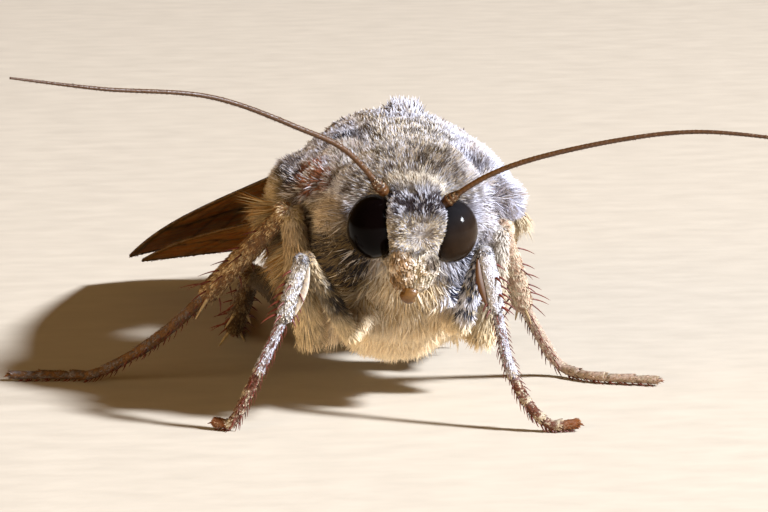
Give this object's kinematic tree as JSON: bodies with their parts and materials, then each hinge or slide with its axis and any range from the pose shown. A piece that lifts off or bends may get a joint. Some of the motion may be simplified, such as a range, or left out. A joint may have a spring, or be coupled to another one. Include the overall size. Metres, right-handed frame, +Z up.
{
  "type": "moth",
  "caption": "Noctuid moth standing at rest with its wings folded over the abdomen, head raised and feelers spread, as a still life-size museum model.",
  "frame": {"origin": "middle of the moth’s overall extent, on the floor that its feet stand on", "axes": "+Z up, the head looks along -Y, +X is the moth’s left"},
  "size_m": [0.0246, 0.0276, 0.012],
  "materials": {
    "thorax_scales": "matte hair scales, grey-white and brown",
    "head_scales": "matte hair scales, grey-cream and amber-brown",
    "abdomen_scales": "matte tan scales",
    "leg_scales": "close grey-white scales, darker feet",
    "wing": "matte scaled membrane, brown-grey above, warm brown beneath",
    "antenna": "satin red-brown",
    "eye": "glossy black",
    "proboscis": "glossy amber"
  },
  "bodies": {
    "root": {"abdomen_1": "abdomen_scales", "abdomen_2": "abdomen_scales", "abdomen_3": "abdomen_scales", "abdomen_4": "abdomen_scales", "abdomen_5": "abdomen_scales", "abdomen_6": "abdomen_scales", "antenna_left_inner": "antenna", "antenna_left_outer": "antenna", "antenna_left_scape": "antenna", "antenna_right_inner": "antenna", "antenna_right_outer": "antenna", "antenna_right_scape": "antenna", "collar": "thorax_scales", "eye_left": "eye", "eye_right": "eye", "fore_coxa_left": "leg_scales", "fore_coxa_right": "leg_scales", "fore_femur_left": "leg_scales", "fore_femur_right": "leg_scales", "fore_tarsus_left": "leg_scales", "fore_tarsus_right": "leg_scales", "fore_tibia_left": "leg_scales", "fore_tibia_right": "leg_scales", "forewing_left": "wing", "forewing_right": "wing", "head": "head_scales", "hind_coxa_left": "leg_scales", "hind_coxa_right": "leg_scales", "hind_femur_left": "leg_scales", "hind_femur_right": "leg_scales", "hind_tarsus_left": "leg_scales", "hind_tarsus_right": "leg_scales", "hind_tibia_left": "leg_scales", "hind_tibia_right": "leg_scales", "hindwing_left": "wing", "hindwing_right": "wing", "mid_coxa_left": "leg_scales", "mid_coxa_right": "leg_scales", "mid_femur_left": "leg_scales", "mid_femur_right": "leg_scales", "mid_tarsus_left": "leg_scales", "mid_tarsus_right": "leg_scales", "mid_tibia_left": "leg_scales", "mid_tibia_right": "leg_scales", "palp_left": "head_scales", "palp_right": "head_scales", "proboscis": "proboscis", "tegula_left": "thorax_scales", "tegula_right": "thorax_scales", "thorax": "thorax_scales"}
  },
  "joints": []
}
